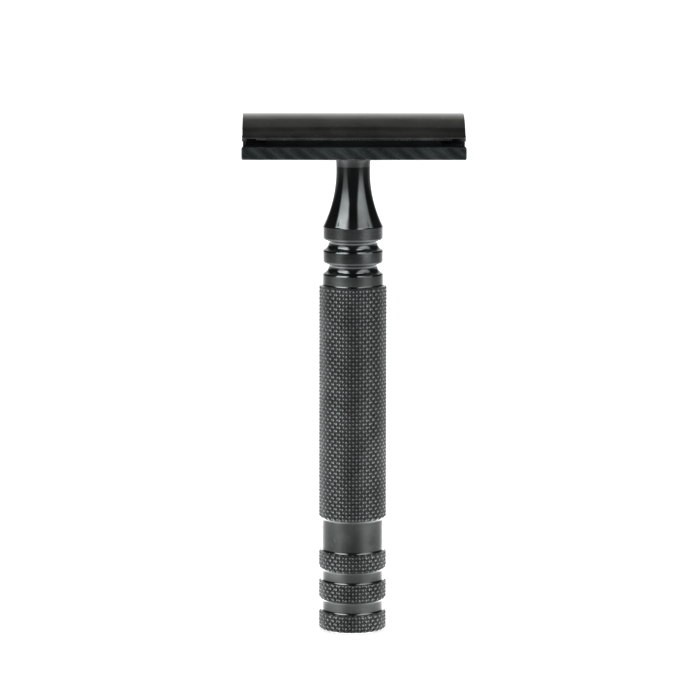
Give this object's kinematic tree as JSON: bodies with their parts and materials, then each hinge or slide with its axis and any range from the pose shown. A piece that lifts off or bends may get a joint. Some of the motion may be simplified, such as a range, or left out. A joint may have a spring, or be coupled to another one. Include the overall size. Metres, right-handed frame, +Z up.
{
  "type": "double-edge safety razor",
  "caption": "Upright double-edge safety razor: curved cap over a scalloped guard plate, slim bell neck, knurled grip and ringed pommel; the head unscrews to free the blade.",
  "frame": {"origin": "centre of the flat face the razor stands on, at the foot of the handle", "axes": "+Z up the handle towards the head, X along the blade edges, Y across the head from one guard bar to the other"},
  "size_m": [0.0428, 0.0246, 0.1015],
  "materials": {
    "satin_black": "satin black coating, turned",
    "knurled_black": "black coating on fine diamond knurling",
    "polished_black": "polished black coating",
    "guard_black": "fine blasted black coating",
    "cap_black": "polished black coating with faint lengthwise grain",
    "blade_steel": "ground stainless steel",
    "bright_steel": "machined stainless steel"
  },
  "bodies": {
    "handle": {"pommel": "satin_black", "core_rod": "bright_steel", "grip_sleeve": "knurled_black", "neck": "polished_black"},
    "guard": {"base_plate": "guard_black"},
    "razor_blade": {"blade": "blade_steel"},
    "cap_assembly": {"cap": "cap_black", "cap_stud": "bright_steel", "locating_post_left": "bright_steel", "locating_post_right": "bright_steel"}
  },
  "joints": [
    {"name": "head_turn", "type": "hinge", "parent": "handle", "child": "guard", "pos_m": [0, 0, 0.0934], "axis": [0, 0, 1], "range_deg": [0, 3240]},
    {"name": "cap_rise", "type": "slide", "parent": "guard", "child": "cap_assembly", "axis": [0, 0, 1], "range_m": [0, 0.00721]},
    {"name": "blade_rise", "type": "slide", "parent": "guard", "child": "razor_blade", "axis": [0, 0, 1], "range_m": [0, 0.00361]}
  ],
  "couplings": [
    {"joint": "cap_rise", "follows": "head_turn", "m_per_rad": 0.00012732},
    {"joint": "blade_rise", "follows": "head_turn", "m_per_rad": 0.000063662}
  ]
}
